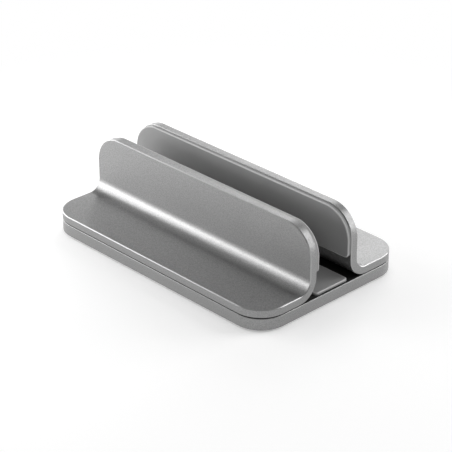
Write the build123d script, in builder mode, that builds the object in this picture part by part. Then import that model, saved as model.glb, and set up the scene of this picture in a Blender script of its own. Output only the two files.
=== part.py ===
from build123d import *
import os
from math import sqrt

# Vertical laptop stand: two bent-plate brackets slide on a flat base and are clamped from below.
# X runs along the slot. Y runs across it, with the front bracket at -Y. Z is up from the table.
# The brackets are drawn at their widest, with their feet flush with the edges of the base.

# Base plate, in millimetres
length = 180.0
width = 115.0
base_thickness = 7.3
base_corner = 17.7
base_top_edge_break = 0.2
edge_break = 0.4

# Black liner between the base and the brackets
liner_thickness = 0.45
liner_inset = 0.4

# L-shaped brackets
plate = 5.0
bracket_height = 43.0
bend_inner = 7.7
wall_corner = 18.3
wall_gap = 27.8
travel = 6.0

# Silicone pads on the walls and on the floor of the slot
wall_pad_thickness = 2.3
wall_pad_inset = 0.6
wall_pad_above_bend = 1.8
wall_pad_lower_corner = 3.0
floor_pad_thickness = 1.6
floor_pad_end_inset = 1.2
floor_pad_corner = 2.0
floor_pad_clearance = 1.5
pad_edge_break = 0.5

# Round silicone feet, let into the underside
foot_radius = 10.0
foot_proud = 1.0
foot_pocket_depth = 1.0
foot_pocket_clearance = 0.15
foot_edge_distance = 17.5
foot_edge_break = 0.4

# M4 screws with low cylindrical heads, and their washers
screw_radius = 2.0
thread_pitch = 0.7
thread_clearance = 0.05
thread_roof = 1.1
screw_tip_clearance = 0.45
head_radius = 3.8
head_height = 2.2
head_edge_break = 0.45
socket_across_flats = 2.5
socket_depth = 1.3
socket_cone_depth = 0.35
washer_radius = 4.5
washer_thickness = 0.8
washer_clearance = 0.15
screw_spacing = 80.0
screw_edge_distance = 15.5

# Slots and pockets under the base that the screws slide in
shank_slot_clearance = 0.3
pocket_clearance = 0.5
head_recess = 0.3

# Levels above the table
base_bottom = foot_proud
base_top = base_bottom + base_thickness
slide_level = base_top + liner_thickness
pocket_depth = washer_thickness + head_height + thread_pitch + head_recess
pocket_roof = base_bottom + pocket_depth
head_seat = pocket_roof - washer_thickness

# Places and sizes that follow from those above
half_length = length / 2
half_width = width / 2
wall_face = wall_gap / 2
bend_outer = bend_inner + plate
screw_x = screw_spacing / 2
screw_y = half_width - screw_edge_distance
thread_depth = plate - thread_roof
screw_length = slide_level + thread_depth - screw_tip_clearance - head_seat
shank_slot_width = 2 * (screw_radius + shank_slot_clearance)
pocket_width = 2 * (washer_radius + pocket_clearance)

sides = {"front": -1, "rear": 1}
ends = {"left": -1, "right": 1}


def finish(piece, name):
    """Name the piece and write its file."""
    piece.part.label = name
    export_step(piece.part, f"parts/{name}.step")


def base_outline(inset):
    """The rounded outline of the base, drawn in by the inset."""
    RectangleRounded(length - 2 * inset, width - 2 * inset, base_corner - inset)


def slots_along_travel(slot_width):
    """Four slots, each from its screw at rest to where the screw is with the bracket fully in."""
    slot_middle = screw_y - travel / 2
    with GridLocations(2 * screw_x, 2 * slot_middle, 2, 2):
        SlotOverall(travel + slot_width, slot_width, rotation=90)


def foot_locations():
    """The middles of the four feet."""
    return GridLocations(length - 2 * foot_edge_distance, width - 2 * foot_edge_distance, 2, 2)


def make_base_plate():
    """Flat plate with slotted, stepped screw pockets and round foot pockets in its underside."""
    with BuildPart() as base_plate:
        with BuildSketch(Plane.XY.offset(base_bottom)):
            base_outline(0)
        extrude(amount=base_thickness)
        underside, top = base_plate.faces().filter_by(Axis.Z).sort_by(Axis.Z)
        chamfer(underside.edges(), edge_break)
        chamfer(top.edges(), base_top_edge_break)

        with BuildSketch(Plane.XY.offset(base_bottom)):
            slots_along_travel(pocket_width)
        extrude(amount=pocket_depth, mode=Mode.SUBTRACT)
        with BuildSketch(Plane.XY.offset(pocket_roof)):
            slots_along_travel(shank_slot_width)
        extrude(amount=base_top - pocket_roof, mode=Mode.SUBTRACT)

        with BuildSketch(Plane.XY.offset(base_bottom)):
            with foot_locations():
                Circle(foot_radius + foot_pocket_clearance)
        extrude(amount=foot_pocket_depth, mode=Mode.SUBTRACT)
    finish(base_plate, "base_plate")


def make_slide_liner():
    """Thin black sheet that the brackets slide on, open where the screws pass through it."""
    with BuildPart() as slide_liner:
        with BuildSketch(Plane.XY.offset(base_top)):
            base_outline(liner_inset)
        extrude(amount=liner_thickness)
        with BuildSketch(Plane.XY.offset(base_top)):
            slots_along_travel(shank_slot_width)
        extrude(amount=liner_thickness, mode=Mode.SUBTRACT)
    finish(slide_liner, "slide_liner")


def make_floor_pad():
    """Flat pad that the device stands on, just clear of both bends when the brackets are fully in."""
    rise = bend_outer - floor_pad_thickness
    bend_setback = bend_outer - sqrt(bend_outer**2 - rise**2)
    pad_half_width = wall_face - travel + bend_setback - floor_pad_clearance
    with BuildPart() as floor_pad:
        with BuildSketch(Plane.XY.offset(slide_level)):
            RectangleRounded(length - 2 * floor_pad_end_inset, 2 * pad_half_width, floor_pad_corner)
        extrude(amount=floor_pad_thickness)
        chamfer(floor_pad.faces().sort_by(Axis.Z)[-1].edges(), pad_edge_break)
    finish(floor_pad, "floor_pad")


def make_foot(name, x, y):
    """Round silicone foot, seated in its pocket and standing proud of the underside."""
    with BuildPart() as foot:
        with BuildSketch(Plane((x, y, 0))):
            Circle(foot_radius)
        extrude(amount=foot_proud + foot_pocket_depth)
        chamfer(foot.faces().sort_by(Axis.Z)[0].edges(), foot_edge_break)
    finish(foot, name)


def make_bracket(name, side):
    """Plate bent once: a wall beside the slot, and a foot that reaches out to the edge of the base."""
    section_plane = Plane((0, 0, slide_level), x_dir=(0, side, 0), z_dir=(side, 0, 0))
    with BuildPart() as bracket:
        with BuildSketch(section_plane):
            with BuildLine():
                slot_side = FilletPolyline(
                    (wall_face, bracket_height), (wall_face, 0), (half_width, 0), radius=bend_outer
                )
                offset(slot_side, amount=plate, side=Side.LEFT)
            make_face()
        extrude(amount=half_length, both=True)

        top_corners = bracket.edges().filter_by(Axis.Y).group_by(Axis.Z)[-1]
        fillet(top_corners, wall_corner)
        foot_corners = bracket.edges().filter_by(Axis.Z).group_by(lambda edge: side * edge.center().Y)[-1]
        fillet(foot_corners, base_corner)

        across_plate = bracket.edges().filter_by(lambda edge: abs(edge.length - plate) < 0.001)
        along_bend = bracket.edges().filter_by(lambda edge: abs(edge.length - length) < 0.001)
        chamfer(bracket.edges() - across_plate - along_bend, edge_break)

        with BuildSketch(Plane.XY.offset(slide_level)):
            with Locations((-screw_x, side * screw_y), (screw_x, side * screw_y)):
                Circle(screw_radius + thread_clearance)
        extrude(amount=thread_depth, mode=Mode.SUBTRACT)
    finish(bracket, name)


def make_wall_pad(name, side):
    """Silicone sheet on the slot side of the wall, following the wall's rounded top corners."""
    wall_plane = Plane((0, side * wall_face, slide_level), x_dir=(side, 0, 0), z_dir=(0, -side, 0))
    lower_edge = bend_outer + wall_pad_above_bend
    pad_height = bracket_height - wall_pad_inset - lower_edge
    upper_corner = wall_corner - wall_pad_inset
    lower_corner = min(wall_pad_lower_corner, 0.9 * (pad_height - upper_corner))
    with BuildPart() as wall_pad:
        with BuildSketch(wall_plane) as sheet:
            with Locations((0, lower_edge)):
                Rectangle(length - 2 * wall_pad_inset, pad_height, align=(Align.CENTER, Align.MIN))
            fillet(sheet.vertices().group_by(Axis.Y)[-1], upper_corner)
            fillet(sheet.vertices().group_by(Axis.Y)[0], lower_corner)
        extrude(amount=wall_pad_thickness)
        slot_face = wall_pad.faces().sort_by(lambda face: side * face.center().Y)[0]
        chamfer(slot_face.edges(), pad_edge_break)
    finish(wall_pad, name)


def make_screw(name, x, y):
    """Low-head screw, turned from below through a hexagonal socket that ends in a drilled cone."""
    head_bottom = head_seat - head_height
    shank_top = head_seat + screw_length
    profile_plane = Plane((x, y, 0), x_dir=(1, 0, 0), z_dir=(0, -1, 0))
    with BuildPart() as screw:
        with BuildSketch(profile_plane):
            with BuildLine():
                Polyline(
                    (0, head_bottom),
                    (head_radius - head_edge_break, head_bottom),
                    (head_radius, head_bottom + head_edge_break),
                    (head_radius, head_seat),
                    (screw_radius, head_seat),
                    (screw_radius, shank_top),
                    (0, shank_top),
                    close=True,
                )
            make_face()
        revolve(axis=Axis((x, y, 0), (0, 0, 1)))

        with BuildSketch(Plane((x, y, head_bottom))):
            RegularPolygon(socket_across_flats / 2, 6, major_radius=False)
        extrude(amount=socket_depth, mode=Mode.SUBTRACT)
        with Locations((x, y, head_bottom + socket_depth)):
            Cone(
                bottom_radius=socket_across_flats / 2,
                top_radius=0,
                height=socket_cone_depth,
                align=(Align.CENTER, Align.CENTER, Align.MIN),
                mode=Mode.SUBTRACT,
            )
    finish(screw, name)


def make_washer(name, x, y):
    """Plain washer between the screw's head and the roof of the pocket."""
    with BuildPart() as washer:
        with BuildSketch(Plane((x, y, head_seat))):
            Circle(washer_radius)
            Circle(screw_radius + washer_clearance, mode=Mode.SUBTRACT)
        extrude(amount=washer_thickness)
    finish(washer, name)


os.makedirs("parts", exist_ok=True)
make_base_plate()
make_slide_liner()
make_floor_pad()
for side_name, side in sides.items():
    make_bracket(f"{side_name}_bracket", side)
    make_wall_pad(f"{side_name}_wall_pad", side)
    for end_name, end in ends.items():
        corner = f"{side_name}_{end_name}"
        make_foot(f"{corner}_foot", end * (half_length - foot_edge_distance),
                  side * (half_width - foot_edge_distance))
        make_screw(f"{corner}_screw", end * screw_x, side * screw_y)
        make_washer(f"{corner}_washer", end * screw_x, side * screw_y)
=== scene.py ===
"""Vertical laptop stand: bent aluminium brackets with silicone pads slide on a black liner over a base plate.

Sizes are in metres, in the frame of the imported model: X along the slot, Y across it, Z up from the table.
"""

import math

import bmesh
import bpy
from bpy.props import FloatProperty, FloatVectorProperty, IntProperty, PointerProperty
from mathutils import Matrix, Vector


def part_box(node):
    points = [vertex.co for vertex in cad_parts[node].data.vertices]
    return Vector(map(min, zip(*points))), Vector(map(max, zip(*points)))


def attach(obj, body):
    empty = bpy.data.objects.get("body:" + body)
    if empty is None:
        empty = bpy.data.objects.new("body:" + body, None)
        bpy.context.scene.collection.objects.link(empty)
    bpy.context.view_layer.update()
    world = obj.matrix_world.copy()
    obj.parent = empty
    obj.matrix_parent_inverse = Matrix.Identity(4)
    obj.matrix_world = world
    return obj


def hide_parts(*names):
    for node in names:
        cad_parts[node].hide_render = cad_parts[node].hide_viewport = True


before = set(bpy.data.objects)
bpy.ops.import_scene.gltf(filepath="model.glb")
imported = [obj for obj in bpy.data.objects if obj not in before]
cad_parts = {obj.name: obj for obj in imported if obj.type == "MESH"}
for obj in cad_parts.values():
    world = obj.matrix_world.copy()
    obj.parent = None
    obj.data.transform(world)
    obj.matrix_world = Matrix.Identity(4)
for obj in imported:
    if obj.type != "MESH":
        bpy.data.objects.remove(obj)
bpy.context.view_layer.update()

bl_info = {
    "name": "Vertical laptop stand",
    "version": (1, 0, 0),
    "blender": (4, 5, 0),
    "location": "3D View > Sidebar > Laptop stand",
    "description": "Finishes for a vertical laptop stand with two sliding brackets",
    "category": "Object",
}

MILLIMETRE = 0.001
# The outer radius of the brackets' bend
BEND_RADIUS = 12.7 * MILLIMETRE
# A metric thread's depth, and the width of its crest, in pitches
THREAD_DEPTH = 0.6134
THREAD_CREST = 0.125
# Faces that meet at less than this angle look like one smooth surface.
SHARP_ANGLE = math.radians(22)
# Most values of a noise texture lie between these two.
NOISE_RANGE = {"From Min": 0.3, "From Max": 0.7}
EDGE_ROUGHNESS = 0.36
PAD_ROUGHNESS = 0.5
FOOT_ROUGHNESS = 0.6
CORNERS = ("front_left", "front_right", "rear_left", "rear_right")
# The place of each softbox about the stand: bearing and elevation in degrees, then its distance, width
# and height in metres
SOFTBOXES = {
    "left_key": (213, 17, 0.5, 0.27, 0.36),
    "left_fill": (240, 12, 0.9, 0.5, 0.28),
    "slot_end": (190, 12, 0.36, 0.12, 0.16),
    "rear_high": (118, 28, 1.0, 0.6, 0.4),
    "rear_low": (150, 12, 0.9, 0.5, 0.25),
    "right_low": (60, 12, 1.2, 0.7, 0.35),
    "right_high": (54, 40, 1.2, 0.5, 0.45),
    "overhead": (0, 90, 1.2, 0.9, 0.9),
}


# Colours

def linear(hex_colour):
    """The linear colour, with alpha, of a hex value in sRGB."""
    channels = [int(hex_colour[i:i + 2], 16) / 255 for i in (1, 3, 5)]
    return [c / 12.92 if c <= 0.04045 else ((c + 0.055) / 1.055) ** 2.4 for c in channels] + [1.0]


def colour_property(name, description, hex_colour):
    """A colour that the user can change."""
    return FloatVectorProperty(name=name, description=description, default=linear(hex_colour), size=4,
                               min=0, max=1, subtype="COLOR")


def length_property(name, description, millimetres):
    """A length that the user can change."""
    return FloatProperty(name=name, description=description, default=millimetres * MILLIMETRE, min=0,
                         precision=5, unit="LENGTH", subtype="DISTANCE")


def radiance_property(name, light, radiance):
    """The radiance of a light, which the user can change."""
    return FloatProperty(name=name, description=f"Radiance of the {light}", default=radiance, min=0)


# Settings

class StandColours(bpy.types.PropertyGroup):
    """Colours of the stand's finishes."""
    aluminium: colour_property("Aluminium", "Grey dye in the anodised layer", "#a4a4a4")
    aluminium_dimple_shade: colour_property("Aluminium grain", "Shaded sides of the blasted dimples", "#888888")
    aluminium_edge: colour_property("Aluminium edge", "Dye on the broken edges, paler with wear", "#aaaaaa")
    silicone: colour_property("Silicone", "Grey pads on the walls and the floor of the slot", "#969696")
    # The liner's black is partly painted shade of the slot floor and the seam.
    liner: colour_property("Liner", "Black sheet under the brackets", "#0c0c0c")
    foot: colour_property("Foot", "Dark round feet", "#39393b")
    zinc: colour_property("Zinc", "Plated screws and washers", "#b9babd")


class PadSizes(bpy.types.PropertyGroup):
    """Sizes of the pads that the closed device touches."""
    wall_upper_corner: length_property("Wall pad's upper corners", "Radius, inside that of the wall", 17.7)
    wall_lower_corner: length_property("Wall pad's lower corners", "Radius above the bend", 3.0)
    floor_corner: length_property("Floor pad's corners", "Radius at the ends of the slot", 2.0)
    lip: length_property("Lip", "Radius of the moulded edge round each pad", 0.45)
    corner_steps: IntProperty(name="Corner steps", description="Faces round each corner", default=24, min=4)
    lip_steps: IntProperty(name="Lip steps", description="Faces round the lip", default=8, min=2)


class FootSizes(bpy.types.PropertyGroup):
    """Sizes of the round feet."""
    edge: length_property("Edge", "Radius of the lower edge", 0.4)
    groove_radius: length_property("Groove radius", "Middle of the moulded ring groove", 7.4)
    groove_width: length_property("Groove width", "Width of the ring groove", 0.9)
    groove_depth: length_property("Groove depth", "Depth of the ring groove", 0.3)
    steps: IntProperty(name="Steps", description="Faces round the foot", default=96, min=12)


class ScrewSizes(bpy.types.PropertyGroup):
    """Sizes of the low-head M4 screws and their washers."""
    shank_radius: length_property("Thread radius", "Outer radius of the thread", 1.98)
    head_height: length_property("Head height", "From the washer to the face with the socket", 2.2)
    head_edge: length_property("Head edge", "Radius of the head's outer edge", 0.45)
    socket_flats: length_property("Socket", "Width of the hexagonal socket across its flats", 2.5)
    socket_depth: length_property("Socket depth", "Depth of the socket's flats", 1.3)
    socket_cone: length_property("Socket cone", "Depth of the drill point under the flats", 0.35)
    pitch: length_property("Thread pitch", "Rise of the thread in one turn", 0.7)
    washer_hole: length_property("Washer hole", "Radius of the hole in the washer", 2.15)
    washer_edge: length_property("Washer edge", "Radius that punching leaves on one side", 0.15)
    steps: IntProperty(name="Steps", description="Faces round each screw", default=48, min=12)


class StudioSettings(bpy.types.PropertyGroup):
    """Camera, floor and lights."""
    camera_bearing: FloatProperty(name="Camera bearing", description="Turn of the camera about the stand",
                                  default=math.radians(46.26), unit="ROTATION", subtype="ANGLE")
    camera_elevation: FloatProperty(name="Camera elevation", description="Height of the camera as an angle",
                                    default=math.radians(27.509), unit="ROTATION", subtype="ANGLE")
    camera_distance: length_property("Camera distance", "From the middle of the slot", 1028.9)
    camera_right: length_property("Camera to the right", "Shift of the camera along its picture", 2.135)
    camera_down: length_property("Camera down", "Shift of the camera along its picture", 10.07)
    focal_length: FloatProperty(name="Focal length", description="In millimetres on a 36 mm sensor",
                                default=139.54, unit="CAMERA")
    floor: colour_property("Floor", "White paper sweep", "#f0f0f0")
    floor_clear: length_property("Clear floor", "Radius round the stand past which the floor fades to white", 130)
    floor_white: length_property("White floor", "Radius past which the camera sees the floor as white", 330)
    floor_lift: FloatProperty(name="Floor lift", default=0.28, min=0, max=1,
                              description="White that the camera and reflections add to the floor")
    room: radiance_property("Room", "even light from all round", 0.24)
    left_key: radiance_property("Left key", "tall softbox on the left", 4.1)
    left_fill: radiance_property("Left fill", "wide softbox on the left", 5.4)
    slot_end: radiance_property("Slot end", "small softbox at the slot's left end", 4.0)
    rear_high: radiance_property("Rear high", "high softbox behind", 3.31)
    rear_low: radiance_property("Rear low", "low softbox behind", 2.92)
    right_low: radiance_property("Right low", "low softbox on the right", 8.79)
    right_high: radiance_property("Right high", "high softbox on the right", 4.0)
    overhead: radiance_property("Overhead", "softbox above", 1.0)


class StandSettings(bpy.types.PropertyGroup):
    """All settings of the stand."""
    colours: PointerProperty(type=StandColours)
    pads: PointerProperty(type=PadSizes)
    feet: PointerProperty(type=FootSizes)
    screws: PointerProperty(type=ScrewSizes)
    studio: PointerProperty(type=StudioSettings)


# Nodes

def add_node(tree, kind, settings=None, links=None):
    """Add a node to a tree, with its settings, and with a value or another node's socket on each input."""
    node = tree.nodes.new(kind)
    for name, value in (settings or {}).items():
        setattr(node, name, value)
    for name, value in (links or {}).items():
        if isinstance(value, bpy.types.NodeSocket):
            tree.links.new(value, node.inputs[name])
        else:
            node.inputs[name].default_value = value
    return node


def new_material(name):
    """A material with an empty tree, and the socket that gives a point's place on the object."""
    material = bpy.data.materials.new(name)
    material.use_nodes = True
    tree = material.node_tree
    tree.nodes.clear()
    place = add_node(tree, "ShaderNodeTexCoord").outputs["Object"]
    return material, tree, place


# Finishes

def broken_edges(tree, place):
    """The socket that gives 1 on the brackets' broken edges, at 45 degrees to the plate, and 0 elsewhere.

    The straight way through the plate is level in the wall, upright in the foot, and towards the bend's axis
    between them. Both brackets are alike, so the rear one's bend also serves the front one, mirrored.
    """
    low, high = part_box("rear_bracket")
    bend_axis = (0, low.y + BEND_RADIUS, low.z + BEND_RADIUS)
    mirrored = add_node(tree, "ShaderNodeVectorMath", {"operation": "ABSOLUTE"}, {0: place}).outputs["Vector"]
    to_axis = add_node(tree, "ShaderNodeVectorMath", {"operation": "SUBTRACT"}, {
        0: bend_axis, 1: mirrored}).outputs["Vector"]
    inwards = add_node(tree, "ShaderNodeVectorMath", {"operation": "MAXIMUM"}, {
        0: to_axis, 1: (0, 0, 0)}).outputs["Vector"]
    through_plate = add_node(tree, "ShaderNodeVectorMath", {"operation": "NORMALIZE"}, {
        0: inwards}).outputs["Vector"]
    facing = add_node(tree, "ShaderNodeNewGeometry").outputs["True Normal"]
    unsigned = add_node(tree, "ShaderNodeVectorMath", {"operation": "ABSOLUTE"}, {0: facing}).outputs["Vector"]
    cosine = add_node(tree, "ShaderNodeVectorMath", {"operation": "DOT_PRODUCT"}, {
        0: through_plate, 1: unsigned}).outputs["Value"]
    slack = 0.05
    slanted = add_node(tree, "ShaderNodeMath", {"operation": "COMPARE"}, {
        0: cosine, 1: math.cos(math.radians(45)), 2: slack}).outputs[0]
    # The base plate, which has this finish too, lies below the brackets.
    height = add_node(tree, "ShaderNodeSeparateXYZ", None, {0: place}).outputs["Z"]
    on_bracket = add_node(tree, "ShaderNodeMath", {"operation": "GREATER_THAN"}, {
        0: height, 1: low.z}).outputs[0]
    return add_node(tree, "ShaderNodeMath", {"operation": "MULTIPLY"}, {
        0: slanted, 1: on_bracket}).outputs[0]


def blasted_aluminium(name, colours):
    """Bead-blasted aluminium, anodised and dyed grey.

    The blasting leaves fine dimples that spread every reflection softly. Their shaded sides are painted darker
    into the colour as a fine grain of painted shade, and the dye lies a little unevenly, in faint, broad clouds.
    Handling rubs the brackets' broken edges smoother and paler, so they catch the light as a thin bright line.
    """
    material, tree, place = new_material(name)
    # The real dimples are 0.1 mm wide. They are drawn 0.5 mm wide, the finest that shows.
    dimples = add_node(tree, "ShaderNodeTexNoise", None, {
        "Vector": place, "Scale": 1 / (0.5 * MILLIMETRE), "Detail": 4.0, "Roughness": 0.6}).outputs["Fac"]
    grain = add_node(tree, "ShaderNodeMapRange", None, {
        "Value": dimples, "From Min": 0.35, "From Max": 0.65}).outputs["Result"]
    # The dye mixes in painted shade: the darker colour on the dimples' shaded sides.
    dye = add_node(tree, "ShaderNodeMix", {"data_type": "RGBA"}, {
        0: grain, 6: colours.aluminium_dimple_shade, 7: colours.aluminium}).outputs[2]
    # The dye's clouds are some 28 mm across.
    clouds = add_node(tree, "ShaderNodeTexNoise", None, {
        "Vector": place, "Scale": 1 / (28 * MILLIMETRE), "Detail": 2.0}).outputs["Fac"]
    shade = add_node(tree, "ShaderNodeMapRange", None, {
        **NOISE_RANGE, "Value": clouds, "To Min": 0.97, "To Max": 1.0}).outputs["Result"]
    clouded = add_node(tree, "ShaderNodeHueSaturation", None, {"Value": shade, "Color": dye}).outputs["Color"]
    roughness = add_node(tree, "ShaderNodeMapRange", None, {
        **NOISE_RANGE, "Value": clouds, "To Min": 0.41, "To Max": 0.45}).outputs["Result"]
    dimpled = add_node(tree, "ShaderNodeBump", None, {
        "Strength": 0.4, "Distance": 0.02 * MILLIMETRE, "Height": dimples}).outputs["Normal"]
    edge = broken_edges(tree, place)
    worn = add_node(tree, "ShaderNodeMix", {"data_type": "RGBA"}, {
        0: edge, 6: clouded, 7: colours.aluminium_edge}).outputs[2]
    smoothed = add_node(tree, "ShaderNodeMix", {"data_type": "FLOAT"}, {
        0: edge, 2: roughness, 3: EDGE_ROUGHNESS}).outputs[0]
    surface = add_node(tree, "ShaderNodeBsdfPrincipled", None, {
        "Base Color": worn, "Metallic": 1.0, "Roughness": smoothed, "Normal": dimpled})
    add_node(tree, "ShaderNodeOutputMaterial", None, {"Surface": surface.outputs["BSDF"]})
    return material


def moulded_silicone(name, colour, roughness):
    """Moulded silicone rubber.

    The mould's fine satin skin gives it a soft, broad sheen, and lint and handling leave it slightly uneven.
    The thin lip of a pad is painted paler: a painted highlight along its rim.
    """
    material, tree, place = new_material(name)
    # The satin skin is spark-eroded into the mould, with pits 0.25 mm wide.
    skin = add_node(tree, "ShaderNodeTexNoise", None, {
        "Vector": place, "Scale": 1 / (0.25 * MILLIMETRE), "Detail": 2.0}).outputs["Fac"]
    # Handling leaves patches some 16 mm across.
    handling = add_node(tree, "ShaderNodeTexNoise", None, {
        "Vector": place, "Scale": 1 / (16 * MILLIMETRE), "Detail": 3.0}).outputs["Fac"]
    shade = add_node(tree, "ShaderNodeMapRange", None, {
        **NOISE_RANGE, "Value": handling, "To Min": 0.94, "To Max": 1.0}).outputs["Result"]
    worn = add_node(tree, "ShaderNodeHueSaturation", None, {"Value": shade, "Color": colour}).outputs["Color"]
    # A pad's lip is painted paler, a painted highlight along its rim.
    lip = add_node(tree, "ShaderNodeAttribute", {"attribute_name": "lip"}).outputs["Fac"]
    paler = add_node(tree, "ShaderNodeMix", {"data_type": "RGBA"}, {
        0: lip, 6: worn, 7: linear("#c6c6c6")}).outputs[2]
    unevenness = 0.04
    sheen = add_node(tree, "ShaderNodeMapRange", None, {
        **NOISE_RANGE, "Value": handling,
        "To Min": roughness - unevenness, "To Max": roughness + unevenness}).outputs["Result"]
    pitted = add_node(tree, "ShaderNodeBump", None, {
        "Strength": 0.2, "Distance": 0.02 * MILLIMETRE, "Height": skin}).outputs["Normal"]
    surface = add_node(tree, "ShaderNodeBsdfPrincipled", None, {
        "Base Color": paler, "IOR": 1.41, "Roughness": sheen, "Normal": pitted})
    add_node(tree, "ShaderNodeOutputMaterial", None, {"Surface": surface.outputs["BSDF"]})
    return material


def black_sheet_painted_shade(name, colours):
    """Black embossed plastic sheet, matt. Its near-black colour is partly painted shade, which darkens the
    floor of the slot and the seam under the brackets.
    """
    material, tree, place = new_material(name)
    #     The emboss is a pattern of round bumps 0.4 mm apart, with a darker black of painted shade between them.
    bumps = add_node(tree, "ShaderNodeTexVoronoi", {"feature": "F1"}, {
        "Vector": place, "Scale": 1 / (0.4 * MILLIMETRE), "Randomness": 0.6}).outputs["Distance"]
    painted_shade_between_bumps = add_node(tree, "ShaderNodeMapRange", None, {
        "Value": bumps, "From Min": 0.0, "From Max": 0.6}).outputs["Result"]
    colour = add_node(tree, "ShaderNodeMix", {"data_type": "RGBA"}, {
        0: painted_shade_between_bumps, 6: colours.liner, 7: linear("#050505")}).outputs[2]
    # Sliding polishes it in patches some 12 mm across.
    rubbed = add_node(tree, "ShaderNodeTexNoise", None, {
        "Vector": place, "Scale": 1 / (12 * MILLIMETRE), "Detail": 2.0}).outputs["Fac"]
    roughness = add_node(tree, "ShaderNodeMapRange", None, {
        **NOISE_RANGE, "Value": rubbed, "To Min": 0.52, "To Max": 0.62}).outputs["Result"]
    embossed = add_node(tree, "ShaderNodeBump", {"invert": True}, {
        "Strength": 0.3, "Distance": 0.03 * MILLIMETRE, "Height": bumps}).outputs["Normal"]
    surface = add_node(tree, "ShaderNodeBsdfPrincipled", None, {
        "Base Color": colour, "Roughness": roughness, "Normal": embossed})
    add_node(tree, "ShaderNodeOutputMaterial", None, {"Surface": surface.outputs["BSDF"]})
    return material


def turned_zinc(name, colours):
    """Zinc-plated turned steel: a bright, cool grey with fine rings from the lathe on its flat faces."""
    material, tree, place = new_material(name)
    radius = add_node(tree, "ShaderNodeAttribute", {"attribute_name": "from_axis"}).outputs["Fac"]
    # The lathe's feed leaves a ring every 0.12 mm.
    phase = add_node(tree, "ShaderNodeMath", {"operation": "MULTIPLY"}, {
        0: radius, 1: math.tau / (0.12 * MILLIMETRE)}).outputs[0]
    rings = add_node(tree, "ShaderNodeMath", {"operation": "SINE"}, {0: phase}).outputs[0]
    # The plating's spangles are some 1.2 mm across.
    spots = add_node(tree, "ShaderNodeTexNoise", None, {
        "Vector": place, "Scale": 1 / (1.2 * MILLIMETRE), "Detail": 3.0}).outputs["Fac"]
    spread = add_node(tree, "ShaderNodeMapRange", None, {**NOISE_RANGE, "Value": spots}).outputs["Result"]
    colour = add_node(tree, "ShaderNodeMix", {"data_type": "RGBA"}, {
        0: spread, 6: linear("#a3a5a9"), 7: colours.zinc}).outputs[2]
    roughness = add_node(tree, "ShaderNodeMapRange", None, {
        "Value": spread, "To Min": 0.24, "To Max": 0.34}).outputs["Result"]
    ringed = add_node(tree, "ShaderNodeBump", None, {
        "Strength": 0.15, "Distance": 0.004 * MILLIMETRE, "Height": rings}).outputs["Normal"]
    surface = add_node(tree, "ShaderNodeBsdfPrincipled", None, {
        "Base Color": colour, "Metallic": 1.0, "Roughness": roughness, "Normal": ringed})
    add_node(tree, "ShaderNodeOutputMaterial", None, {"Surface": surface.outputs["BSDF"]})
    return material


def paper_floor(name, studio):
    """White paper sweep. The camera and the reflections see it a little whiter, and it keeps the stand's shadow."""
    material, tree, place = new_material(name)
    fibres = add_node(tree, "ShaderNodeTexNoise", None, {
        "Vector": place, "Scale": 1 / (1.5 * MILLIMETRE), "Detail": 2.0}).outputs["Fac"]
    fleck = add_node(tree, "ShaderNodeMapRange", None, {**NOISE_RANGE, "Value": fibres}).outputs["Result"]
    colour = add_node(tree, "ShaderNodeMix", {"data_type": "RGBA"}, {
        0: fleck, 6: linear("#ececec"), 7: studio.floor}).outputs[2]
    paper = add_node(tree, "ShaderNodeBsdfDiffuse", None, {"Color": colour})
    path = add_node(tree, "ShaderNodeLightPath").outputs
    mirrored = add_node(tree, "ShaderNodeMath", {"operation": "MAXIMUM"}, {
        0: path["Is Glossy Ray"], 1: path["Is Transmission Ray"]}).outputs[0]
    seen = add_node(tree, "ShaderNodeMath", {"operation": "MAXIMUM"}, {
        0: path["Is Camera Ray"], 1: mirrored}).outputs[0]
    lift = add_node(tree, "ShaderNodeMath", {"operation": "MULTIPLY"}, {0: seen, 1: studio.floor_lift}).outputs[0]
    glow = add_node(tree, "ShaderNodeEmission", None, {"Strength": lift})
    near = add_node(tree, "ShaderNodeAddShader", None, {0: paper.outputs["BSDF"], 1: glow.outputs["Emission"]})
    # Far from the stand, where no shadow falls, the camera sees plain white.
    distance = add_node(tree, "ShaderNodeVectorMath", {"operation": "LENGTH"}, {0: place}).outputs["Value"]
    far = add_node(tree, "ShaderNodeMapRange", {"interpolation_type": "SMOOTHSTEP"}, {
        "Value": distance, "From Min": studio.floor_clear, "From Max": studio.floor_white}).outputs["Result"]
    whitened = add_node(tree, "ShaderNodeMath", {"operation": "MULTIPLY"}, {0: seen, 1: far}).outputs[0]
    white = add_node(tree, "ShaderNodeEmission", None, {"Strength": 1.0})
    both = add_node(tree, "ShaderNodeMixShader", None, {
        0: whitened, 1: near.outputs["Shader"], 2: white.outputs["Emission"]})
    add_node(tree, "ShaderNodeOutputMaterial", None, {"Surface": both.outputs["Shader"]})
    return material


def finish(make, name, *arguments):
    """The material of that name, made once."""
    return bpy.data.materials.get(name) or make(name, *arguments)


# Meshes

def new_piece(name, mesh, material, body, node):
    """An object that rides on a body and stands for a node, with smooth shading up to its sharp edges."""
    mesh.polygons.foreach_set("use_smooth", [True] * len(mesh.polygons))
    mesh.set_sharp_from_angle(angle=SHARP_ANGLE)
    if not mesh.materials:
        mesh.materials.append(material)
    piece = bpy.data.objects.new(name, mesh)
    bpy.context.scene.collection.objects.link(piece)
    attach(piece, body)
    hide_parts(node)
    return piece


def dress(node, material):
    """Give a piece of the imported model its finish."""
    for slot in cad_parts[node].material_slots:
        slot.material = material


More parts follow.
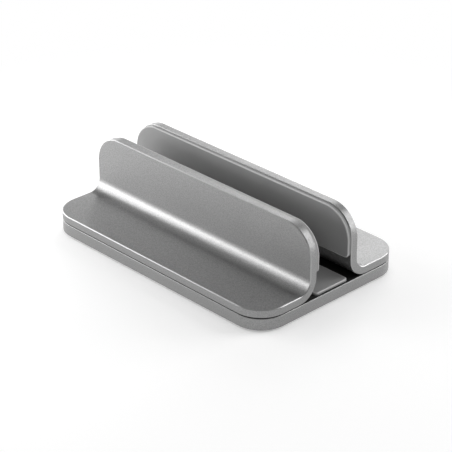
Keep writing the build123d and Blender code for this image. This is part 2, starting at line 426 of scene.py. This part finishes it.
def rounded_outline(half_width, low, high, lower_corner, upper_corner, inset, steps):
    """Points round a rounded outline, anticlockwise, drawn in by the inset."""
    points = []
    quarters = ((1, low, lower_corner), (1, high, upper_corner), (-1, high, upper_corner), (-1, low, lower_corner))
    for quarter, (side, level, radius) in enumerate(quarters):
        middle = (side * (half_width - radius), level + radius if level == low else level - radius)
        for step in range(steps + 1):
            angle = math.radians(90 * (quarter - 1 + step / steps))
            points.append((middle[0] + (radius - inset) * math.cos(angle),
                           middle[1] + (radius - inset) * math.sin(angle)))
    return points


def lipped_sheet(name, outline, thickness, lip, lip_steps, place):
    """A flat sheet with a rounded lip all round one side. The outline gives the points at an inset.

    The attribute "lip" is 1 on the lip and fades to 0 beside it. It marks where the material paints a highlight on
    the lip.
    """
    fade_below, fade_inside = 2 * lip, 1.4 * lip
    rings = [(0.0, 0.0, 0.0), (0.0, thickness - fade_below, 0.0)]
    for step in range(lip_steps + 1):
        angle = math.radians(90 * step / lip_steps)
        rings.append((lip * (1 - math.cos(angle)), thickness - lip * (1 - math.sin(angle)), 1.0))
    rings.append((fade_inside, thickness, 0.0))
    shape = bmesh.new()
    lip_highlight_weight = shape.verts.layers.float.new("lip")
    loops = []
    for inset, height, weight in rings:
        loops.append([shape.verts.new(place @ Vector((x, y, height))) for x, y in outline(inset)])
        for vertex in loops[-1]:
            vertex[lip_highlight_weight] = weight
    for lower, upper in zip(loops, loops[1:]):
        for i, vertex in enumerate(lower):
            following = (i + 1) % len(lower)
            shape.faces.new((vertex, lower[following], upper[following], upper[i]))
    shape.faces.new(loops[-1])
    shape.faces.new(reversed(loops[0]))
    bmesh.ops.recalc_face_normals(shape, faces=shape.faces)
    mesh = bpy.data.meshes.new(name)
    shape.to_mesh(mesh)
    shape.free()
    return mesh


def profile_object(points, flat_sided):
    """The half section of a round piece, from (radius, height) points. Those in flat_sided lie on a hexagon."""
    mesh = bpy.data.meshes.new("half_section")
    mesh.from_pydata([(radius, 0, height) for radius, height in points],
                     [(i, i + 1) for i in range(len(points) - 1)], [])
    flats = mesh.attributes.new("flat_sided", "FLOAT", "POINT")
    flats.data.foreach_set("value", [1.0 if i in flat_sided else 0.0 for i in range(len(points))])
    section = bpy.data.objects.new("half_section", mesh)
    bpy.context.scene.collection.objects.link(section)
    return section


def quarter_round(centre_radius, centre_height, radius, start, end, steps=5):
    """Points of an arc in a half section, from one angle to another in degrees."""
    angles = [math.radians(start + (end - start) * step / steps) for step in range(steps + 1)]
    return [(centre_radius + radius * math.cos(a), centre_height + radius * math.sin(a)) for a in angles]


# Geometry nodes for the round pieces

def round_piece_tree():
    """A tree that turns a half section about its axis, with a screw thread if its length is above 0."""
    tree = bpy.data.node_groups.new("Round piece", "GeometryNodeTree")
    tree.interface.new_socket("Geometry", in_out="INPUT", socket_type="NodeSocketGeometry")
    for name, kind in (("Steps", "Int"), ("Place", "Vector"), ("Thread radius", "Float"),
                       ("Thread pitch", "Float"), ("Thread start", "Float"), ("Thread length", "Float"),
                       ("Finish", "Material")):
        tree.interface.new_socket(name, in_out="INPUT", socket_type=f"NodeSocket{kind}")
    tree.interface.new_socket("Geometry", in_out="OUTPUT", socket_type="NodeSocketGeometry")
    sizes = add_node(tree, "NodeGroupInput").outputs
    whole = turned_surface(tree, sizes)
    thread = thread_ridge(tree, sizes)
    joined = add_node(tree, "GeometryNodeJoinGeometry")
    tree.links.new(thread, joined.inputs["Geometry"])
    tree.links.new(whole, joined.inputs["Geometry"])
    placed = add_node(tree, "GeometryNodeSetPosition", None, {
        "Geometry": joined.outputs["Geometry"], "Offset": sizes["Place"]})
    real = add_node(tree, "GeometryNodeRealizeInstances", None, {"Geometry": placed.outputs["Geometry"]})
    dressed = add_node(tree, "GeometryNodeSetMaterial", None, {
        "Geometry": real.outputs["Geometry"], "Material": sizes["Finish"]})
    add_node(tree, "NodeGroupOutput", None, {"Geometry": dressed.outputs["Geometry"]})
    return tree


def turned_surface(tree, sizes):
    """The half section, repeated at each step round the axis and joined into a closed surface."""
    rows = add_node(tree, "GeometryNodeAttributeDomainSize", {"component": "MESH"},
                    {"Geometry": sizes["Geometry"]}).outputs["Point Count"]
    columns = add_node(tree, "ShaderNodeMath", {"operation": "ADD"}, {0: sizes["Steps"], 1: 1.0}).outputs[0]
    grid = add_node(tree, "GeometryNodeMeshGrid", None, {"Vertices X": columns, "Vertices Y": rows})
    index = add_node(tree, "GeometryNodeInputIndex").outputs["Index"]
    column = add_node(tree, "FunctionNodeIntegerMath", {"operation": "DIVIDE_FLOOR"},
                      {0: index, 1: rows}).outputs[0]
    row = add_node(tree, "FunctionNodeIntegerMath", {"operation": "MODULO"}, {0: index, 1: rows}).outputs[0]
    turn = add_node(tree, "ShaderNodeMath", {"operation": "MULTIPLY"}, {0: column, 1: math.tau}).outputs[0]
    angle = add_node(tree, "ShaderNodeMath", {"operation": "DIVIDE"}, {0: turn, 1: sizes["Steps"]}).outputs[0]

    # A hexagon's side is further from the axis towards its corners, by one over the cosine.
    past_corner = add_node(tree, "ShaderNodeMath", {"operation": "MODULO"},
                           {0: angle, 1: math.pi / 3}).outputs[0]
    from_middle = add_node(tree, "ShaderNodeMath", {"operation": "SUBTRACT"},
                           {0: past_corner, 1: math.pi / 6}).outputs[0]
    cosine = add_node(tree, "ShaderNodeMath", {"operation": "COSINE"}, {0: from_middle}).outputs[0]
    reach = add_node(tree, "ShaderNodeMath", {"operation": "DIVIDE"}, {0: 1.0, 1: cosine}).outputs[0]
    flats = add_node(tree, "GeometryNodeInputNamedAttribute", {"data_type": "FLOAT"},
                     {"Name": "flat_sided"}).outputs["Attribute"]
    flat = add_node(tree, "GeometryNodeSampleIndex", {"data_type": "FLOAT", "domain": "POINT"},
                    {"Geometry": sizes["Geometry"], "Value": flats, "Index": row}).outputs["Value"]
    stretch = add_node(tree, "ShaderNodeMix", {"data_type": "FLOAT"}, {0: flat, 2: 1.0, 3: reach}).outputs[0]

    position = add_node(tree, "GeometryNodeInputPosition").outputs["Position"]
    section = add_node(tree, "GeometryNodeSampleIndex", {"data_type": "FLOAT_VECTOR", "domain": "POINT"},
                       {"Geometry": sizes["Geometry"], "Value": position, "Index": row}).outputs["Value"]
    parts = add_node(tree, "ShaderNodeSeparateXYZ", None, {0: section}).outputs
    radius = add_node(tree, "ShaderNodeMath", {"operation": "MULTIPLY"}, {0: parts["X"], 1: stretch}).outputs[0]
    unturned = add_node(tree, "ShaderNodeCombineXYZ", None, {"X": radius, "Z": parts["Z"]}).outputs[0]
    place = add_node(tree, "ShaderNodeVectorRotate", {"rotation_type": "Z_AXIS"},
                     {"Vector": unturned, "Angle": angle}).outputs[0]
    turned = add_node(tree, "GeometryNodeSetPosition", None, {
        "Geometry": grid.outputs["Mesh"], "Position": place})
    marked = add_node(tree, "GeometryNodeStoreNamedAttribute", {"data_type": "FLOAT", "domain": "POINT"},
                      {"Geometry": turned.outputs["Geometry"], "Name": "from_axis", "Value": radius})
    return add_node(tree, "GeometryNodeMergeByDistance", None, {
        "Geometry": marked.outputs["Geometry"], "Distance": 0.001 * MILLIMETRE}).outputs["Geometry"]


def thread_ridge(tree, sizes):
    """The ridge of a metric thread, wound round the shank."""
    pitch = sizes["Thread pitch"]
    depth = add_node(tree, "ShaderNodeMath", {"operation": "MULTIPLY"}, {0: pitch, 1: THREAD_DEPTH}).outputs[0]
    half_depth = add_node(tree, "ShaderNodeMath", {"operation": "MULTIPLY"}, {0: depth, 1: 0.5}).outputs[0]
    middle = add_node(tree, "ShaderNodeMath", {"operation": "SUBTRACT"}, {
        0: sizes["Thread radius"], 1: half_depth}).outputs[0]
    turns = add_node(tree, "ShaderNodeMath", {"operation": "DIVIDE"}, {
        0: sizes["Thread length"], 1: pitch}).outputs[0]
    helix = add_node(tree, "GeometryNodeCurveSpiral", None, {
        "Resolution": 32, "Rotations": turns, "Start Radius": middle, "End Radius": middle,
        "Height": sizes["Thread length"]})
    upright = add_node(tree, "GeometryNodeSetCurveNormal", {"mode": "Z_UP"}, {"Curve": helix.outputs["Curve"]})
    root = add_node(tree, "ShaderNodeMath", {"operation": "MULTIPLY"}, {
        0: pitch, 1: 1 - THREAD_CREST}).outputs[0]
    crest = add_node(tree, "ShaderNodeMath", {"operation": "MULTIPLY"}, {0: pitch, 1: THREAD_CREST}).outputs[0]
    tooth = add_node(tree, "GeometryNodeCurvePrimitiveQuadrilateral", {"mode": "TRAPEZOID"}, {
        "Bottom Width": root, "Top Width": crest, "Offset": 0.0, "Height": depth})
    outwards = add_node(tree, "GeometryNodeTransform", None, {
        "Geometry": tooth.outputs["Curve"], "Rotation": (0, 0, math.pi / 2)})
    ridge = add_node(tree, "GeometryNodeCurveToMesh", None, {
        "Curve": upright.outputs["Curve"], "Profile Curve": outwards.outputs["Geometry"], "Fill Caps": True})
    lift = add_node(tree, "ShaderNodeCombineXYZ", None, {"Z": sizes["Thread start"]}).outputs[0]
    return add_node(tree, "GeometryNodeSetPosition", None, {
        "Geometry": ridge.outputs["Mesh"], "Offset": lift}).outputs["Geometry"]


def make_round(name, points, flat_sided, values, material):
    """The mesh of a round piece: its half section turned by the tree, with faces outwards."""
    tree = bpy.data.node_groups.get("Round piece") or round_piece_tree()
    section = profile_object(points, flat_sided)
    modifier = section.modifiers.new("Round piece", "NODES")
    modifier.node_group = tree
    identifiers = {item.name: item.identifier for item in tree.interface.items_tree if item.in_out == "INPUT"}
    for key, value in {**values, "Finish": material}.items():
        modifier[identifiers[key]] = value
    section.update_tag()
    bpy.context.view_layer.update()
    seen = section.evaluated_get(bpy.context.evaluated_depsgraph_get())
    mesh = bpy.data.meshes.new_from_object(seen)
    mesh.name = name
    section_mesh = section.data
    bpy.data.objects.remove(section)
    bpy.data.meshes.remove(section_mesh)
    shape = bmesh.new()
    shape.from_mesh(mesh)
    bmesh.ops.recalc_face_normals(shape, faces=shape.faces)
    shape.to_mesh(mesh)
    shape.free()
    return mesh


# Operators

class LAPTOPSTAND_OT_dress_plates(bpy.types.Operator):
    """Give the base plate and both brackets their blasted and anodised finish"""
    bl_idname = "laptop_stand.dress_plates"
    bl_label = "Dress plates"

    def execute(self, context):
        colours = context.scene.laptop_stand.colours
        aluminium = finish(blasted_aluminium, "bead_blasted_anodised_aluminium", colours)
        for node in ("base_plate", "front_bracket", "rear_bracket"):
            dress(node, aluminium)
        return {"FINISHED"}


class LAPTOPSTAND_OT_dress_liner(bpy.types.Operator):
    """Give the liner its black embossed finish, whose black is partly painted shade in the slot"""
    bl_idname = "laptop_stand.dress_liner"
    bl_label = "Dress liner"

    def execute(self, context):
        colours = context.scene.laptop_stand.colours
        dress("slide_liner", finish(black_sheet_painted_shade, "black_embossed_liner", colours))
        return {"FINISHED"}


class LAPTOPSTAND_OT_make_wall_pads(bpy.types.Operator):
    """Make the silicone pad on the slot side of each wall"""
    bl_idname = "laptop_stand.make_wall_pads"
    bl_label = "Make wall pads"

    def execute(self, context):
        sizes, colours = context.scene.laptop_stand.pads, context.scene.laptop_stand.colours
        silicone = finish(moulded_silicone, "grey_moulded_silicone", colours.silicone, PAD_ROUGHNESS)
        for side, outwards in (("front", -1), ("rear", 1)):
            low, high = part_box(f"{side}_wall_pad")
            wall = low.y if side == "front" else high.y
            place = Matrix(((outwards, 0, 0, 0), (0, 0, -outwards, wall), (0, 1, 0, 0), (0, 0, 0, 1)))

            def outline(inset, low=low, high=high):
                return rounded_outline(high.x, low.z, high.z, sizes.wall_lower_corner,
                                       sizes.wall_upper_corner, inset, sizes.corner_steps)

            mesh = lipped_sheet(f"{side}_wall_pad_silicone", outline, high.y - low.y, sizes.lip,
                                sizes.lip_steps, place)
            new_piece(mesh.name, mesh, silicone, f"{side}_carriage", f"{side}_wall_pad")
        return {"FINISHED"}


class LAPTOPSTAND_OT_make_floor_pad(bpy.types.Operator):
    """Make the silicone pad on the floor of the slot"""
    bl_idname = "laptop_stand.make_floor_pad"
    bl_label = "Make floor pad"

    def execute(self, context):
        sizes, colours = context.scene.laptop_stand.pads, context.scene.laptop_stand.colours
        silicone = finish(moulded_silicone, "grey_moulded_silicone", colours.silicone, PAD_ROUGHNESS)
        low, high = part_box("floor_pad")

        def outline(inset):
            return rounded_outline(high.x, low.y, high.y, sizes.floor_corner, sizes.floor_corner, inset,
                                   sizes.corner_steps)

        mesh = lipped_sheet("floor_pad_silicone", outline, high.z - low.z, sizes.lip, sizes.lip_steps,
                            Matrix.Translation((0, 0, low.z)))
        new_piece(mesh.name, mesh, silicone, "base", "floor_pad")
        return {"FINISHED"}


class LAPTOPSTAND_OT_make_feet(bpy.types.Operator):
    """Make the four round feet, with a moulded ring groove in their undersides"""
    bl_idname = "laptop_stand.make_feet"
    bl_label = "Make feet"

    def execute(self, context):
        sizes, colours = context.scene.laptop_stand.feet, context.scene.laptop_stand.colours
        silicone = finish(moulded_silicone, "dark_moulded_silicone", colours.foot, FOOT_ROUGHNESS)
        for corner in CORNERS:
            low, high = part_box(f"{corner}_foot")
            middle = (low + high) / 2
            radius = (high.x - low.x) / 2
            inner = sizes.groove_radius - sizes.groove_width / 2
            outer = sizes.groove_radius + sizes.groove_width / 2
            slope = sizes.groove_width / 4
            points = [(0, low.z), (inner, low.z), (inner + slope, low.z + sizes.groove_depth),
                      (outer - slope, low.z + sizes.groove_depth), (outer, low.z)]
            points += quarter_round(radius - sizes.edge, low.z + sizes.edge, sizes.edge, -90, 0)
            points += [(radius, high.z), (0, high.z)]
            mesh = make_round(f"{corner}_foot_silicone", points, (), {
                "Steps": sizes.steps, "Place": (middle.x, middle.y, 0)}, silicone)
            new_piece(mesh.name, mesh, silicone, "base", f"{corner}_foot")
        return {"FINISHED"}


class LAPTOPSTAND_OT_make_screws(bpy.types.Operator):
    """Make the four low-head screws, with their sockets and threads"""
    bl_idname = "laptop_stand.make_screws"
    bl_label = "Make screws"

    def execute(self, context):
        sizes, colours = context.scene.laptop_stand.screws, context.scene.laptop_stand.colours
        zinc = finish(turned_zinc, "zinc_plated_turned_steel", colours)
        mouth_depth, head_bevel, tip_bevel = 0.12 * MILLIMETRE, 0.1 * MILLIMETRE, 0.3 * MILLIMETRE
        for corner in CORNERS:
            low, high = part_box(f"{corner}_screw")
            middle = (low + high) / 2
            head = (high.x - low.x) / 2
            seat = low.z + sizes.head_height
            root = sizes.shank_radius - THREAD_DEPTH * sizes.pitch
            flat = sizes.socket_flats / 2
            drill, mouth = 0.97 * flat, 1.2 * flat
            socket_floor = low.z + sizes.socket_depth
            points = [(0, socket_floor + sizes.socket_cone), (drill, socket_floor), (flat, socket_floor),
                      (flat, low.z + mouth_depth), (mouth, low.z)]
            on_flats = (2, 3)
            points += quarter_round(head - sizes.head_edge, low.z + sizes.head_edge, sizes.head_edge, -90, 0)
            points += [(head, seat - head_bevel), (head - head_bevel, seat), (root, seat),
                       (root, high.z - tip_bevel), (root - tip_bevel, high.z), (0, high.z)]
            mesh = make_round(f"{corner}_screw_zinc", points, on_flats, {
                "Steps": sizes.steps, "Place": (middle.x, middle.y, 0), "Thread radius": sizes.shank_radius,
                "Thread pitch": sizes.pitch, "Thread start": seat + sizes.pitch,
                "Thread length": high.z - seat - 2 * sizes.pitch}, zinc)
            new_piece(mesh.name, mesh, zinc, f"{corner}_clamp_screw", f"{corner}_screw")
        return {"FINISHED"}


class LAPTOPSTAND_OT_make_washers(bpy.types.Operator):
    """Make the four punched washers, rounded on one side"""
    bl_idname = "laptop_stand.make_washers"
    bl_label = "Make washers"

    def execute(self, context):
        sizes, colours = context.scene.laptop_stand.screws, context.scene.laptop_stand.colours
        zinc = finish(turned_zinc, "zinc_plated_turned_steel", colours)
        for corner in CORNERS:
            low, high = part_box(f"{corner}_washer")
            middle = (low + high) / 2
            radius = (high.x - low.x) / 2
            hole, edge = sizes.washer_hole, sizes.washer_edge
            points = [(hole, high.z)] + quarter_round(hole + edge, low.z + edge, edge, 180, 270)
            points += quarter_round(radius - edge, low.z + edge, edge, -90, 0) + [(radius, high.z), (hole, high.z)]
            mesh = make_round(f"{corner}_washer_zinc", points, (), {
                "Steps": sizes.steps, "Place": (middle.x, middle.y, 0)}, zinc)
            new_piece(mesh.name, mesh, zinc, f"{corner}_clamp_ring", f"{corner}_washer")
        return {"FINISHED"}


class LAPTOPSTAND_OT_set_studio(bpy.types.Operator):
    """Set the floor, the soft lights and the camera"""
    bl_idname = "laptop_stand.set_studio"
    bl_label = "Set studio"

    def add_softbox(self, name, bearing, elevation, distance, width, height, radiance):
        """A softbox aimed at the stand. The lamp's power follows from its radiance and its size."""
        lamp = bpy.data.lights.new(name, "AREA")
        lamp.shape = "RECTANGLE"
        lamp.size, lamp.size_y = width, height
        lamp.energy = radiance * math.pi * width * height
        softbox = bpy.data.objects.new(name, lamp)
        turn, rise = math.radians(bearing), math.radians(elevation)
        towards = Vector((math.cos(turn) * math.cos(rise), math.sin(turn) * math.cos(rise), math.sin(rise)))
        softbox.location = towards * distance
        softbox.rotation_euler = towards.to_track_quat("Z", "Y").to_euler()
        softbox.visible_camera = False
        bpy.context.scene.collection.objects.link(softbox)

    def add_floor(self, studio):
        """A plain floor far wider than the picture."""
        mesh = bpy.data.meshes.new("floor")
        reach = 30.0
        mesh.from_pydata([(-reach, -reach, 0), (reach, -reach, 0), (reach, reach, 0), (-reach, reach, 0)], [],
                         [(0, 1, 2, 3)])
        mesh.materials.append(finish(paper_floor, "white_paper_sweep", studio))
        floor = bpy.data.objects.new("floor", mesh)
        bpy.context.scene.collection.objects.link(floor)

    def add_room(self, studio):
        """Even light from the room."""
        world = bpy.data.worlds.new("room")
        world.use_nodes = True
        world.node_tree.nodes.clear()
        room = add_node(world.node_tree, "ShaderNodeBackground", None, {
            "Color": linear("#ffffff"), "Strength": studio.room})
        add_node(world.node_tree, "ShaderNodeOutputWorld", None, {"Surface": room.outputs["Background"]})
        bpy.context.scene.world = world

    def add_camera(self, studio):
        """A camera at the picture's angle, aimed at the middle of the slot and shifted in its own plane."""
        turn, rise = studio.camera_bearing, studio.camera_elevation
        back = Vector((math.sin(turn) * math.cos(rise), -math.cos(turn) * math.cos(rise), math.sin(rise)))
        right = Vector((math.cos(turn), math.sin(turn), 0))
        up = back.cross(right)
        aim = Vector((0, 0, 26 * MILLIMETRE))
        lens = bpy.data.cameras.new("camera")
        lens.lens = studio.focal_length
        lens.sensor_width = 36
        lens.clip_start = 0.01
        camera = bpy.data.objects.new("camera", lens)
        place = (aim + studio.camera_distance * back + studio.camera_right * right
                 - studio.camera_down * up)
        camera.matrix_world = Matrix.Translation(place) @ Matrix((right, up, back)).transposed().to_4x4()
        bpy.context.scene.collection.objects.link(camera)
        bpy.context.scene.camera = camera

    def execute(self, context):
        studio = context.scene.laptop_stand.studio
        bpy.context.scene.view_settings.view_transform = "Standard"
        self.add_floor(studio)
        self.add_room(studio)
        for name, place in SOFTBOXES.items():
            self.add_softbox(name, *place, getattr(studio, name))
        self.add_camera(studio)
        return {"FINISHED"}


OPERATORS = (
    LAPTOPSTAND_OT_dress_plates,
    LAPTOPSTAND_OT_dress_liner,
    LAPTOPSTAND_OT_make_wall_pads,
    LAPTOPSTAND_OT_make_floor_pad,
    LAPTOPSTAND_OT_make_feet,
    LAPTOPSTAND_OT_make_screws,
    LAPTOPSTAND_OT_make_washers,
    LAPTOPSTAND_OT_set_studio,
)


class LAPTOPSTAND_PT_pieces(bpy.types.Panel):
    """The stand's pieces, in the order that they are made"""
    bl_label = "Laptop stand"
    bl_space_type = "VIEW_3D"
    bl_region_type = "UI"
    bl_category = "Laptop stand"

    def draw(self, context):
        column = self.layout.column()
        for operator in OPERATORS:
            column.operator(operator.bl_idname)


CLASSES = (StandColours, PadSizes, FootSizes, ScrewSizes, StudioSettings, StandSettings,
           *OPERATORS, LAPTOPSTAND_PT_pieces)


def register():
    for each in CLASSES:
        bpy.utils.register_class(each)
    bpy.types.Scene.laptop_stand = PointerProperty(type=StandSettings)


def unregister():
    del bpy.types.Scene.laptop_stand
    for each in reversed(CLASSES):
        bpy.utils.unregister_class(each)


def main():
    register()
    bpy.ops.laptop_stand.dress_plates()
    bpy.ops.laptop_stand.dress_liner()
    bpy.ops.laptop_stand.make_wall_pads()
    bpy.ops.laptop_stand.make_floor_pad()
    bpy.ops.laptop_stand.make_feet()
    bpy.ops.laptop_stand.make_screws()
    bpy.ops.laptop_stand.make_washers()
    bpy.ops.laptop_stand.set_studio()


if __name__ == "__main__":
    main()
